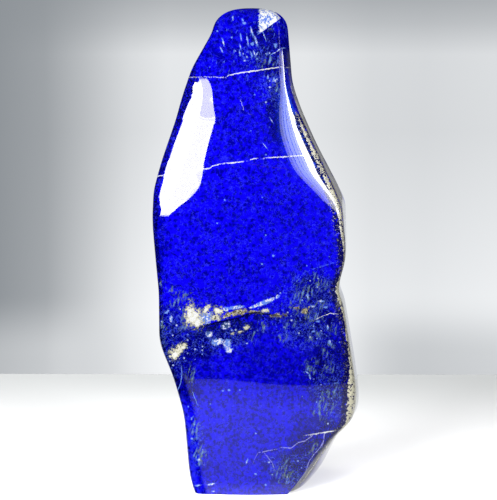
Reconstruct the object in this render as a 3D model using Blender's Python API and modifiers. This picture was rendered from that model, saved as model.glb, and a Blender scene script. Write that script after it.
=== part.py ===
"""A tall polished free-form of lapis lazuli: one stone, cut flat underneath so that it stands.

The stone is a closed cage of level rings. Every ring runs round the same corners: the broad front face, the
facet ground on its left shoulder, the bevel on its right shoulder, the flat right side, the back with its ridge,
and the rounded left side. Each of these follows its own short table of sizes over the height. A Subdivision
Surface modifier turns the cage into the smooth stone, and a crease keeps the rim of the cut base sharp.

Seen from the front the stone's face looks towards -Y, with +X to the right and +Z up. The origin is in the middle
of the base.
"""
import bmesh
import bpy
import numpy as np
from mathutils import Matrix

MM = 0.001

# Height of the stone and of the shoulder line where its crown starts to close.
HEIGHT = 240.0
CROWN_START = 228.0
CROWN_POWER = 2.5
CROWN_STEPS = (0.3, 0.55, 0.75, 0.88, 0.95, 0.99)
CROWN_CENTRE_Y = -1.0
RING_SPACING = 6.0

# The stone seen from the front: pairs of height and x.
LEFT_EDGE = (
    (0, -31.4), (8, -34.0), (40, -36.6), (58, -41.4), (66, -44.4), (76, -48.6), (102, -48.7),
    (136, -51.8), (148, -51.7), (165, -47.2), (190, -39.0), (209, -33.0), (224, -24.4), (228, -22.0),
    (236, -21.2),
)
RIGHT_EDGE = (
    (0, 32.0), (6, 36.5), (18, 42.0), (30, 48.8), (37, 55.0), (42, 54.4), (62, 51.6), (96, 45.4), (101, 42.4),
    (107, 42.8), (114, 44.8), (120, 45.8), (144, 46.0), (152, 42.4), (172, 31.2), (190, 23.0), (203, 18.4),
    (228, 16.2),
)

# How far the front face stops short of the right edge, which lies further back.
RIGHT_TAPER = (
    (0, 11.0), (30, 9.2), (42, 6.0), (50, 3.8), (93, 2.9), (112, 2.0), (124, 2.0),
    (134, 3.2), (146, 4.4), (158, 3.5), (170, 2.3), (228, 2.4),
)

# The stone seen from its side: pairs of height and depth, with the front at minus.
FRONT_DEPTH = ((0, -26.5), (60, -27.5), (110, -27.0), (150, -24.4), (190, -19.0), (228, -13.5))
BACK_DEPTH = ((0, 25.0), (30, 28.0), (75, 28.6), (110, 26.0), (140, 24.2), (175, 19.2), (205, 14.4), (228, 11.6))
FACE_CROWN = 0.9

# The facet on the left shoulder: its width across the face, and how far it drops back at the edge.
FACET_WIDTH = (
    (0, 9.0), (105, 9.0), (134, 3.5), (139, 6.5), (145, 14.5), (150, 21.5), (156, 22.0), (170, 21.0),
    (188, 17.5), (198, 13.5), (204, 9.0), (210, 2.4), (228, 1.5),
)
FACET_DROP = (
    (0, 1.2), (116, 1.2), (134, 2.2), (146, 5.8), (156, 7.4), (188, 6.8), (198, 6.8), (204, 6.4),
    (210, 2.4), (228, 1.2),
)

# How broadly the left edge is rounded: sharper above the facet.
EDGE_ROLL = ((0, 3.6), (200, 3.6), (210, 1.4), (228, 1.2))

# The bevel on the right shoulder.
BEVEL_WIDTH = (
    (0, 6.0), (130, 5.0), (148, 8.0), (163, 13.0), (179, 11.0), (190, 7.5), (198, 4.5), (208, 3.0),
    (228, 2.5),
)
BEVEL_DROP = (
    (0, 0.6), (130, 0.6), (148, 2.2), (163, 5.2), (179, 4.6), (190, 3.4), (198, 2.2), (208, 1.4),
    (228, 1.2),
)

# The front right corner is broad where the lower right is cut back to the base, and tight above that.
FRONT_CORNER = ((0, 8.0), (10, 5.0), (22, 2.6), (36, 1.5), (228, 1.5))

# The back: where its ridge runs, how far it falls away to both sides, and how its corners are rounded.
BACK_RIDGE = ((0, 9.0), (60, 12.0), (120, 2.0), (180, -9.0), (228, -5.0))
BACK_FALL_RIGHT = ((0, 2.5), (60, 5.5), (140, 6.5), (228, 2.5))
BACK_FALL_LEFT = ((0, 3.5), (60, 6.0), (140, 4.5), (228, 2.0))
BACK_CORNER = ((0, 8.0), (80, 12.0), (160, 10.0), (228, 6.0))
LEFT_SIDE_TAPER = ((0, 1.5), (70, 5.0), (140, 6.5), (228, 3.0))


def ring_heights():
    """Heights of the cage's rings: even steps up the body, then closer ones over the crown."""
    body = np.arange(0.0, CROWN_START + RING_SPACING / 2, RING_SPACING)
    crown = CROWN_START + (HEIGHT - CROWN_START) * np.array(CROWN_STEPS)
    return np.concatenate([body, crown])


def along(table, heights):
    """Read a table of height and size at each height, straight between its points."""
    table_heights, sizes = np.transpose(np.array(table, dtype=float))
    return np.interp(heights, table_heights, sizes)


def crown_scale(heights):
    """How much of its full width each ring keeps: all of it on the body, then a superellipse to the top."""
    rise = np.clip((heights - CROWN_START) / (HEIGHT - CROWN_START), 0.0, 1.0)
    return (1.0 - rise ** CROWN_POWER) ** (1.0 / CROWN_POWER)


def cage_rings():
    """Corner points of every ring, as an array of rings by columns by xyz in millimetres."""
    z = ring_heights()
    left, right = along(LEFT_EDGE, z), along(RIGHT_EDGE, z)
    front, back = along(FRONT_DEPTH, z), along(BACK_DEPTH, z)
    facet, facet_drop = along(FACET_WIDTH, z), along(FACET_DROP, z)
    bevel, bevel_drop = along(BEVEL_WIDTH, z), along(BEVEL_DROP, z)
    corner, back_corner = along(FRONT_CORNER, z), along(BACK_CORNER, z)
    back_right = back - along(BACK_FALL_RIGHT, z)
    back_left = back - along(BACK_FALL_LEFT, z)
    ridge_back = along(BACK_RIDGE, z)
    roll = along(EDGE_ROLL, z)

    face_right = right - along(RIGHT_TAPER, z)
    ridge_left = left + facet
    ridge_right = face_right - bevel
    face_width = ridge_right - ridge_left
    side_front = front + bevel_drop + corner
    side_back = back_right - back_corner
    left_front = front + facet_drop + roll
    left_back = left + along(LEFT_SIDE_TAPER, z)

    columns = (
        (left + 0.3 * roll, front + facet_drop),
        (left + 0.5 * facet, front + 0.5 * facet_drop),
        (ridge_left - 0.2 * facet, front + 0.2 * facet_drop),
        (ridge_left + 0.1 * face_width, front),
        (ridge_left + 0.37 * face_width, front - FACE_CROWN),
        (ridge_left + 0.65 * face_width, front - FACE_CROWN),
        (ridge_right - 0.08 * face_width, front),
        (ridge_right + 0.3 * bevel, front + 0.3 * bevel_drop),
        (face_right - corner, front + bevel_drop),
        (face_right, side_front),
        (face_right + 0.4 * (right - face_right), side_front + 0.35 * (side_back - side_front)),
        (right, side_back),
        (right - 0.5 * back_corner, back_right),
        (0.5 * (right + ridge_back), 0.5 * (back + back_right)),
        (ridge_back, back),
        (0.5 * (left_back + ridge_back), 0.5 * (back + back_left)),
        (left_back + back_corner, back_left),
        (left_back, back_left - back_corner),
        (0.5 * (left + left_back), 0.5 * (left_front + back_left - back_corner)),
        (left, left_front),
    )
    x = np.stack([column[0] for column in columns], axis=1)
    y = np.stack([column[1] for column in columns], axis=1)

    scale = crown_scale(z)[:, None]
    centre_x = 0.5 * (left + right)[:, None]
    x = centre_x + (x - centre_x) * scale
    y = CROWN_CENTRE_Y + (y - CROWN_CENTRE_Y) * scale
    return np.stack([x, y, np.repeat(z[:, None], x.shape[1], axis=1)], axis=2)


def cage_mesh(name):
    """Join the rings into one closed cage, with a flat face below, a cap above and a creased base rim."""
    rings = cage_rings() * MM
    bm = bmesh.new()
    crease = bm.edges.layers.float.new("crease_edge")
    verts = [[bm.verts.new(point) for point in ring] for ring in rings]
    columns = len(verts[0])
    for low, high in zip(verts, verts[1:]):
        for i in range(columns):
            j = (i + 1) % columns
            bm.faces.new((low[i], low[j], high[j], high[i]))
    base = bm.faces.new(reversed(verts[0]))
    bm.faces.new(verts[-1])
    for edge in base.edges:
        edge[crease] = 1.0
    mesh = bpy.data.meshes.new(name)
    bm.to_mesh(mesh)
    bm.free()
    return mesh


def polished_lapis():
    """Ultramarine stone with a high polish."""
    material = bpy.data.materials.new("lapis")
    material.use_nodes = True
    shader = material.node_tree.nodes["Principled BSDF"]
    shader.inputs["Base Color"].default_value = (0.015, 0.012, 0.6, 1.0)
    shader.inputs["Roughness"].default_value = 0.08
    shader.inputs["Metallic"].default_value = 0.0
    return material


def smoothed(stone):
    """Give the cage its Subdivision Surface."""
    smooth = stone.modifiers.new("smooth", "SUBSURF")
    smooth.levels = 1
    smooth.render_levels = smooth.levels


def centre_on_base(stone):
    """Move the cage so that the finished stone's box stands centred on the origin."""
    bpy.context.view_layer.update()
    evaluated = stone.evaluated_get(bpy.context.evaluated_depsgraph_get())
    points = np.array([vertex.co for vertex in evaluated.data.vertices])
    low, high = points.min(axis=0), points.max(axis=0)
    middle = 0.5 * (low + high)
    stone.data.transform(Matrix.Translation((-middle[0], -middle[1], -low[2])))


def main():
    """Build the stone in a collection of its own."""
    for leftover in list(bpy.data.objects):
        bpy.data.objects.remove(leftover)
    collection = bpy.data.collections.new("polished_lapis_lazuli")
    bpy.context.scene.collection.children.link(collection)
    stone = bpy.data.objects.new("stone", cage_mesh("stone"))
    collection.objects.link(stone)
    stone.data.materials.append(polished_lapis())
    stone.data.shade_smooth()
    smoothed(stone)
    centre_on_base(stone)


main()
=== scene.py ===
"""Looks of a tall polished free-form of lapis lazuli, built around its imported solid.

The stone is one smooth surface: a net of level rings, read as a cubic B-spline in both directions, with the
low relief that a polished stone has. Its colour is worked out in the shader from where a point lies in the
stone, so the veins run through it and show on the back as well. Lengths are in millimetres until a mesh is
made, and in metres in the studio.
"""
import logging
import math
from dataclasses import dataclass
from enum import Enum

import bpy
import numpy as np
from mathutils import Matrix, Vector

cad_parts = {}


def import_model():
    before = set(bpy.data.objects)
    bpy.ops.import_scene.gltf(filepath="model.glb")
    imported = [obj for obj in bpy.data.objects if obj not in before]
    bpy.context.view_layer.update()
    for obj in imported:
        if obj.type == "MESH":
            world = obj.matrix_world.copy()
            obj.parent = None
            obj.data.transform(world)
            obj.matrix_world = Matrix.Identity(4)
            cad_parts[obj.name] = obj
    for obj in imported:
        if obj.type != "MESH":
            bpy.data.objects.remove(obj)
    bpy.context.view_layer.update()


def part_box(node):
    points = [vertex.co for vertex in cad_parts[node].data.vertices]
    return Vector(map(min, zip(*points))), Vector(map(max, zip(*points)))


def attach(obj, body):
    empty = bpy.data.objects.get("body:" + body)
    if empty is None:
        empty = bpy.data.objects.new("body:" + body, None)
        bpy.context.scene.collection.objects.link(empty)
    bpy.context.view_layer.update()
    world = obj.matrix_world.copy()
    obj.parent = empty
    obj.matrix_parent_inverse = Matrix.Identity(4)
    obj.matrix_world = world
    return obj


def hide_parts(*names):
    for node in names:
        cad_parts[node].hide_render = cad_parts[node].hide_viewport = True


LOG = logging.getLogger("lapis")
MM = 0.001

# How strongly the lamps light the front. The stone's colours are divided by it.
FACE_LIGHT = 4.15

# The numbers kept at the mesh's points, and its map.
CORNER = "corner"
TURN = "turn"
MAP = "OFBake"

# How far off a spot its distance is followed, counted in its own half widths.
SPOT_REACH = 6.0

Table = tuple[tuple[float, float], ...]
Span = tuple[float, float]
Place = tuple[float, float, float]
Colour = tuple[float, float, float]
Rgba = tuple[float, float, float, float]
Socket = bpy.types.NodeSocket


def along(table: Table, heights: np.ndarray) -> np.ndarray:
    """Read a table of height and size at each height, straight between its points.

    Args:
        table: Pairs of height and size.
        heights: Where to read it.

    Returns:
        The sizes.
    """
    table_heights, sizes = np.transpose(np.array(table, dtype=float))
    return np.interp(heights, table_heights, sizes)


def smooth_step(low: float, high: float, value: np.ndarray) -> np.ndarray:
    """Rise from 0 to 1 between low and high as 3 t squared minus 2 t cubed."""
    t = np.clip((value - low) / (high - low), 0.0, 1.0)
    return t * t * (3.0 - 2.0 * t)


def spline_weights(places: np.ndarray, count: int, closed: bool) -> np.ndarray:
    """Weights of a uniform cubic B-spline's control points at each place.

    With f the part of a place after its whole number, the four points round it weigh (1-f)^3, 3f^3-6f^2+4,
    -3f^3+3f^2+3f+1 and f^3, each over 6.

    Args:
        places: Places along the control points, counted in points.
        count: Number of control points.
        closed: Whether the last point is followed by the first.

    Returns:
        An array of places by control points.
    """
    whole = np.floor(places).astype(int)
    whole = whole if closed else np.minimum(whole, count - 3)
    f = places - whole
    blends = ((1 - f) ** 3, 3 * f ** 3 - 6 * f ** 2 + 4, -3 * f ** 3 + 3 * f ** 2 + 3 * f + 1, f ** 3)
    weights = np.zeros((len(places), count))
    rows = np.arange(len(places))
    for step, blend in enumerate(blends, start=-1):
        columns = (whole + step) % count if closed else whole + step
        np.add.at(weights, (rows, columns), blend / 6.0)
    return weights


@dataclass
class StoneForm:
    """The stone's outline, depths, facets and corners as tables of height and size, and the net they give."""

    height: float = 240.0
    crown_start: float = 228.0
    crown_power: float = 2.5
    crown_steps: tuple[float, ...] = (0.3, 0.55, 0.75, 0.88, 0.95, 0.99)
    crown_centre_y: float = -1.0
    ring_spacing: float = 6.0
    left_edge: Table = (
        (0, -31.4), (8, -34.0), (40, -36.6), (58, -41.4), (66, -44.4), (76, -48.6), (102, -48.7),
        (136, -51.8), (148, -51.7), (165, -47.2), (190, -39.0), (209, -33.0), (224, -24.4), (228, -22.0),
        (236, -21.2),
    )
    right_edge: Table = (
        (0, 32.0), (6, 36.5), (18, 42.0), (30, 48.8), (37, 55.0), (42, 54.4), (62, 51.6), (96, 45.4),
        (101, 42.4), (107, 42.8), (114, 44.8), (120, 45.8), (144, 46.0), (152, 42.4), (172, 31.2),
        (190, 23.0), (203, 18.4), (228, 16.2),
    )
    right_taper: Table = (
        (0, 11.0), (30, 9.2), (42, 6.0), (50, 3.8), (93, 2.9), (112, 2.0), (124, 2.0),
        (134, 3.2), (146, 4.4), (158, 3.5), (170, 2.3), (228, 2.4),
    )
    front_depth: Table = ((0, -26.5), (60, -27.5), (110, -27.0), (150, -24.4), (190, -19.0), (228, -13.5))
    back_depth: Table = (
        (0, 25.0), (30, 28.0), (75, 28.6), (110, 26.0), (140, 24.2), (175, 19.2), (205, 14.4), (228, 11.6),
    )
    face_crown: float = 0.9
    facet_width: Table = (
        (0, 9.0), (105, 9.0), (134, 3.5), (139, 6.5), (145, 14.5), (150, 21.5), (156, 22.0), (170, 21.0),
        (188, 17.5), (198, 13.5), (204, 9.0), (210, 2.4), (228, 1.5),
    )
    facet_drop: Table = (
        (0, 1.2), (116, 1.2), (134, 2.2), (146, 5.8), (156, 7.4), (188, 6.8), (198, 6.8), (204, 6.4),
        (210, 2.4), (228, 1.2),
    )
    edge_roll: Table = ((0, 3.6), (200, 3.6), (210, 1.4), (228, 1.2))
    bevel_width: Table = (
        (0, 6.0), (130, 5.0), (148, 8.0), (163, 13.0), (179, 11.0), (190, 7.5), (198, 4.5), (208, 3.0),
        (228, 2.5),
    )
    bevel_drop: Table = (
        (0, 0.6), (130, 0.6), (148, 2.2), (163, 5.2), (179, 4.6), (190, 3.4), (198, 2.2), (208, 1.4),
        (228, 1.2),
    )
    front_corner: Table = ((0, 8.0), (10, 5.0), (22, 2.6), (36, 1.5), (228, 1.5))
    back_ridge: Table = ((0, 9.0), (60, 12.0), (120, 2.0), (180, -9.0), (228, -5.0))
    back_fall_right: Table = ((0, 2.5), (60, 5.5), (140, 6.5), (228, 2.5))
    back_fall_left: Table = ((0, 3.5), (60, 6.0), (140, 4.5), (228, 2.0))
    back_corner: Table = ((0, 8.0), (80, 12.0), (160, 10.0), (228, 6.0))
    left_side_taper: Table = ((0, 1.5), (70, 5.0), (140, 6.5), (228, 3.0))

    def ring_heights(self) -> np.ndarray:
        """Heights of the rings: even steps up the body, then closer ones over the crown.

        Returns:
            The heights.
        """
        body = np.arange(0.0, self.crown_start + self.ring_spacing / 2, self.ring_spacing)
        crown = self.crown_start + (self.height - self.crown_start) * np.array(self.crown_steps)
        return np.concatenate([body, crown])

    def rings(self) -> np.ndarray:
        """Corner points of every ring, closing over the crown as a superellipse.

        Returns:
            An array of rings by columns by xyz.
        """
        z = self.ring_heights()
        left, right = along(self.left_edge, z), along(self.right_edge, z)
        front, back = along(self.front_depth, z), along(self.back_depth, z)
        facet, facet_drop = along(self.facet_width, z), along(self.facet_drop, z)
        bevel, bevel_drop = along(self.bevel_width, z), along(self.bevel_drop, z)
        corner, back_corner = along(self.front_corner, z), along(self.back_corner, z)
        back_right = back - along(self.back_fall_right, z)
        back_left = back - along(self.back_fall_left, z)
        ridge_back = along(self.back_ridge, z)
        roll, crown = along(self.edge_roll, z), self.face_crown

        face_right = right - along(self.right_taper, z)
        ridge_left = left + facet
        ridge_right = face_right - bevel
        face_width = ridge_right - ridge_left
        side_front = front + bevel_drop + corner
        side_back = back_right - back_corner
        left_front = front + facet_drop + roll
        left_back = left + along(self.left_side_taper, z)

        columns = (
            (left + 0.3 * roll, front + facet_drop),
            (left + 0.5 * facet, front + 0.5 * facet_drop),
            (ridge_left - 0.2 * facet, front + 0.2 * facet_drop),
            (ridge_left + 0.1 * face_width, front),
            (ridge_left + 0.37 * face_width, front - crown),
            (ridge_left + 0.65 * face_width, front - crown),
            (ridge_right - 0.08 * face_width, front),
            (ridge_right + 0.3 * bevel, front + 0.3 * bevel_drop),
            (face_right - corner, front + bevel_drop),
            (face_right, side_front),
            (face_right + 0.4 * (right - face_right), side_front + 0.35 * (side_back - side_front)),
            (right, side_back),
            (right - 0.5 * back_corner, back_right),
            (0.5 * (right + ridge_back), 0.5 * (back + back_right)),
            (ridge_back, back),
            (0.5 * (left_back + ridge_back), 0.5 * (back + back_left)),
            (left_back + back_corner, back_left),
            (left_back, back_left - back_corner),
            (0.5 * (left + left_back), 0.5 * (left_front + back_left - back_corner)),
            (left, left_front),
        )
        x = np.stack([column[0] for column in columns], axis=1)
        y = np.stack([column[1] for column in columns], axis=1)

        rise = np.clip((z - self.crown_start) / (self.height - self.crown_start), 0.0, 1.0)[:, None]
        scale = (1.0 - rise ** self.crown_power) ** (1.0 / self.crown_power)
        centre_x = 0.5 * (left + right)[:, None]
        x = centre_x + (x - centre_x) * scale
        y = self.crown_centre_y + (y - self.crown_centre_y) * scale
        return np.stack([x, y, np.repeat(z[:, None], x.shape[1], axis=1)], axis=2)

    def net(self) -> np.ndarray:
        """The rings, with the pole on top and one more ring beyond each end that steers the surface there.

        The ring below the base mirrors the second ring through the first, so that the surface starts on the
        base's rim. The ring past the pole is the last one turned through the pole, which rounds the top.

        Returns:
            An array of rings by columns by xyz.
        """
        rings = self.rings()
        below = 2.0 * rings[0] - rings[1]
        pole = np.repeat(rings[-1].mean(axis=0)[None, :], rings.shape[1], axis=0)
        pole[:, 2] = self.height
        past = 2.0 * pole - rings[-1]
        past[:, 2] = rings[-1][:, 2]
        return np.concatenate([below[None], rings, pole[None], past[None]])


@dataclass
class StoneSurface:
    """The fine mesh of the stone: its grid, its relief and its map.

    Places round and up the net are counted in its points. The map's sizes are shares of its whole width.
    """

    form: StoneForm
    columns: int = 330
    row_step: float = 1.0
    fine_row_step: float = 0.6
    fine_zone: Span = (80.0, 106.0)
    crown_rows: int = 44
    crown_gap: float = 0.12
    pole_gap: float = 0.02
    ring_samples: int = 4001
    sharp_angle: float = 50.0
    corner_place: float = 8.6
    strip_top: float = 0.86
    base_disc: Span = (0.08, 0.93)
    tip_disc: Span = (0.24, 0.93)
    disc_radius: float = 0.06

    def row_places(self) -> np.ndarray:
        """Places of the rows up the net, with closer rows across the seam and over the crown.

        The net's first ring lies below the base, so the base is at place 1.

        Returns:
            The places, counted in rings.
        """
        body = [0.0]
        low, high = self.fine_zone
        while body[-1] < self.form.crown_start:
            fine = low <= body[-1] <= high
            body.append(body[-1] + (self.fine_row_step if fine else self.row_step))
        body_places = 1.0 + np.array(body) / self.form.ring_spacing
        pole = len(self.form.ring_heights()) + 1.0
        crown = np.linspace(body_places[-1] + self.crown_gap, pole - self.pole_gap, self.crown_rows)
        return np.concatenate([body_places, crown])

    def column_places(self, net: np.ndarray) -> np.ndarray:
        """Places of the columns round the net, evenly spaced along a ring at mid height.

        Args:
            net: An array of rings by columns by xyz.

        Returns:
            The places, counted in the net's columns.
        """
        count = net.shape[1]
        fine = np.linspace(0.0, count, self.ring_samples)
        ring = spline_weights(fine, count, closed=True) @ net[len(net) // 2]
        length = np.concatenate([[0.0], np.cumsum(np.linalg.norm(np.diff(ring, axis=0), axis=1))])
        return np.interp(np.linspace(0.0, length[-1], self.columns, endpoint=False), length, fine)

    def grid(self) -> np.ndarray:
        """The smooth surface: both sets of B-spline weights applied to the net.

        Returns:
            An array of rows by columns by xyz.
        """
        net = self.form.net()
        up = spline_weights(self.row_places(), len(net), closed=False)
        round_ = spline_weights(self.column_places(net), net.shape[1], closed=True)
        return np.einsum("ri,cj,ijk->rck", up, round_, net)

    @staticmethod
    def normals(grid: np.ndarray) -> np.ndarray:
        """Outward unit normals of the grid: the way round crossed with the way up.

        Args:
            grid: Rows by columns by xyz.

        Returns:
            An array of the same shape.
        """
        around = np.roll(grid, -1, axis=1) - np.roll(grid, 1, axis=1)
        upward = np.gradient(grid, axis=0)
        normal = np.cross(around, upward)
        return normal / np.maximum(np.linalg.norm(normal, axis=2, keepdims=True), 1e-9)

    def corner_distance(self, grid: np.ndarray, corner: float) -> np.ndarray:
        """How far round its ring each point lies from the right front corner, with minus in front of it.

        It is the length added up from column to column, less the length at the corner's place.

        Args:
            grid: Rows by columns by xyz.
            corner: The corner's place round the net.

        Returns:
            An array of rows by columns.
        """
        steps = np.linalg.norm(np.diff(grid, axis=1), axis=2)
        length = np.concatenate([np.zeros((len(grid), 1)), np.cumsum(steps, axis=1)], axis=1)
        places = self.column_places(self.form.net())
        at = int(np.searchsorted(places, corner))
        share = (corner - places[at - 1]) / (places[at] - places[at - 1])
        start = length[:, at - 1] + share * (length[:, at] - length[:, at - 1])
        return length - start[:, None]

    def build(self, name: str, low: Vector, high: Vector, relief: "Relief") -> bpy.types.Object:
        """Make the stone's object, centred in the solid's box.

        Args:
            name: The object's name.
            low: Lowest corner of the solid's box, in metres.
            high: Its highest corner.
            relief: The low relief of the polished surface.

        Returns:
            The object, at the origin with its place in its mesh.
        """
        grid = self.grid()
        middle = 0.5 * (grid.reshape(-1, 3).min(axis=0) + grid.reshape(-1, 3).max(axis=0))
        target = np.array([0.5 * (low.x + high.x), 0.5 * (low.y + high.y)]) / MM
        grid[:, :, :2] += target - middle[:2]
        corner = self.corner_distance(grid, self.corner_place)
        turn = -self.normals(grid)[:, :, 0]
        lift = relief.height(grid, corner)
        base, top = grid[0, :, 2].min(), grid[-1, :, 2].max()
        grid = grid + self.normals(grid) * lift[:, :, None]
        grid[:, :, 2] = np.clip(grid[:, :, 2], base, top)
        grid[0, :, 2] = base
        kept = {CORNER: corner, TURN: turn}
        for patch, spots in relief.marks.patches().items():
            kept[patch] = nearness(grid[:, :, 0], grid[:, :, 2], spots)
        return self.mesh_object(name, grid, kept)

    def mesh_object(self, name: str, grid: np.ndarray, kept: dict[str, np.ndarray]) -> bpy.types.Object:
        """Put a grid into a closed mesh with a flat base below and a small fan at the pole.

        Args:
            name: The object's name.
            grid: Rows by columns by xyz, in millimetres.
            kept: Numbers at each point, by the name of the attribute that keeps them.

        Returns:
            The object.
        """
        rows, columns = grid.shape[:2]
        middles = np.stack([grid[0].mean(axis=0), grid[-1].mean(axis=0)])
        points = np.concatenate([grid.reshape(-1, 3), middles])
        row = np.arange(rows - 1)[:, None] * columns
        this = np.arange(columns)[None, :]
        after = (this + 1) % columns
        quads = np.stack([row + this, row + after, row + columns + after, row + columns + this], axis=2)
        base, top = rows * columns, rows * columns + 1
        last = (rows - 1) * columns
        fans = [(int(j), int(i), base) for i, j in zip(this[0], after[0])]
        fans += [(int(last + i), int(last + j), top) for i, j in zip(this[0], after[0])]
        mesh = bpy.data.meshes.new(name)
        mesh.from_pydata((points * MM).tolist(), [], quads.reshape(-1, 4).tolist() + fans)
        for title, numbers in kept.items():
            attribute = mesh.attributes.new(title, "FLOAT", "POINT")
            at_middles = [numbers[0].mean(), numbers[-1].mean()]
            attribute.data.foreach_set("value", np.concatenate([numbers.ravel(), at_middles]))
        mesh.uv_layers.new(name=MAP).data.foreach_set("uv", self.unrolled(grid).ravel())
        mesh.shade_smooth()
        mesh.set_sharp_from_angle(angle=math.radians(self.sharp_angle))
        stone = bpy.data.objects.new(name, mesh)
        bpy.context.scene.collection.objects.link(stone)
        return stone

    def unrolled(self, grid: np.ndarray) -> np.ndarray:
        """The stone's skin unrolled into a strip, with the base and the tip as discs above it.

        Args:
            grid: Rows by columns by xyz.

        Returns:
            The map's place of each corner of each face, in the order of the faces.
        """
        rows, columns = grid.shape[:2]
        climb = np.linalg.norm(np.diff(grid, axis=0), axis=2).mean(axis=1)
        up = np.concatenate([[0.0], np.cumsum(climb)])
        up = self.strip_top * up / up[-1]
        across = np.arange(columns + 1) / columns
        left, right = (np.broadcast_to(side, (rows - 1, columns)) for side in (across[:-1], across[1:]))
        low, high = (np.broadcast_to(side[:, None], (rows - 1, columns)) for side in (up[:-1], up[1:]))
        strip = np.stack([left, low, right, low, right, high, left, high], axis=2).reshape(-1, 2)
        discs = []
        for ring, middle, turn in ((grid[0], self.base_disc, -1), (grid[-1], self.tip_disc, 1)):
            flat = ring[:, :2] - ring[:, :2].mean(axis=0)
            disc = flat / np.abs(flat).max() * self.disc_radius
            centre = np.zeros_like(disc)
            following = np.roll(disc, -1, axis=0)
            corners = (following, disc, centre) if turn < 0 else (disc, following, centre)
            discs.append((np.stack(corners, axis=1) + np.array(middle)).reshape(-1, 2))
        return np.concatenate([strip, *discs])


@dataclass(frozen=True)
class Relief:
    """The low relief of the skin: waves from lapping, the facet's belly, the open crack and the rough corner.

    A belly is how proud it stands, the heights between which it rises, and those between which it falls.
    """

    marks: "Marks"
    wave_height: float = 0.028
    wave_lengths: tuple[float, ...] = (31.0, 24.0, 38.0, 19.0)
    seed: int = 7
    bellies: tuple[tuple[float, Span, Span], ...] = (
        (0.35, (184.0, 196.0), (209.0, 197.0)), (0.5, (143.0, 154.0), (190.0, 154.0)),
    )
    crack_depth: float = 0.1
    crack_half_width: float = 0.75
    grain_height: float = 0.16
    grain_lengths: tuple[float, ...] = (3.1, 2.7, 4.3, 2.2, 5.1)
    grain_margin: float = 0.6
    grain_full_width: float = 0.8
    plain_foot: float = 4.0

    def waves(self, points: np.ndarray, lengths: tuple[float, ...], seed: int) -> np.ndarray:
        """Add up plane sine waves of the given lengths, each in its own random direction.

        Args:
            points: Rows by columns by xyz.
            lengths: The wave lengths.
            seed: Picks the directions and starts.

        Returns:
            A height between about -1 and 1 at each point.
        """
        dice = np.random.default_rng(seed)
        total = np.zeros(points.shape[:2])
        for wave_length in lengths:
            way = dice.normal(size=3)
            way /= np.linalg.norm(way)
            total += np.sin(points @ way * (math.tau / wave_length) + dice.uniform(0.0, math.tau))
        return total / len(lengths)

    def lapped(self, x: np.ndarray, y: np.ndarray, z: np.ndarray) -> np.ndarray:
        """The slight belly of the facet on the left shoulder, full below its top and above its foot.

        Args:
            x: How far right each point is.
            y: How far back it is.
            z: How high it is.

        Returns:
            Its height at each point.
        """
        belly = sum(proud * smooth_step(*rise, z) * smooth_step(*fall, z)
                    for proud, rise, fall in self.bellies)
        return belly * smooth_step(-14.0, -28.0, x) * smooth_step(4.0, -8.0, y)

    def height(self, points: np.ndarray, corner: np.ndarray) -> np.ndarray:
        """How far each point stands proud of the smooth form.

        Args:
            points: Rows by columns by xyz.
            corner: The distance of each point from the right front corner.

        Returns:
            Heights in millimetres.
        """
        x, y, z = np.moveaxis(points, 2, 0)
        height = self.wave_height * self.waves(points, self.wave_lengths, self.seed)
        height += self.lapped(x, y, z)
        front = smooth_step(0.0, -12.0, y)
        drop = (z - along(self.marks.crack, x)) / self.crack_half_width
        height -= self.crack_depth * np.exp(-drop ** 2) * along(self.marks.crack_depth, x) * front
        width = along(self.marks.matrix_width, z)
        rock = np.exp(-(corner / (width + self.grain_margin)) ** 2)
        rock *= smooth_step(0.0, self.grain_full_width, width)
        height += self.grain_height * rock * self.waves(points, self.grain_lengths, self.seed + 1)
        return height * smooth_step(0.0, self.plain_foot, z)


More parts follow.
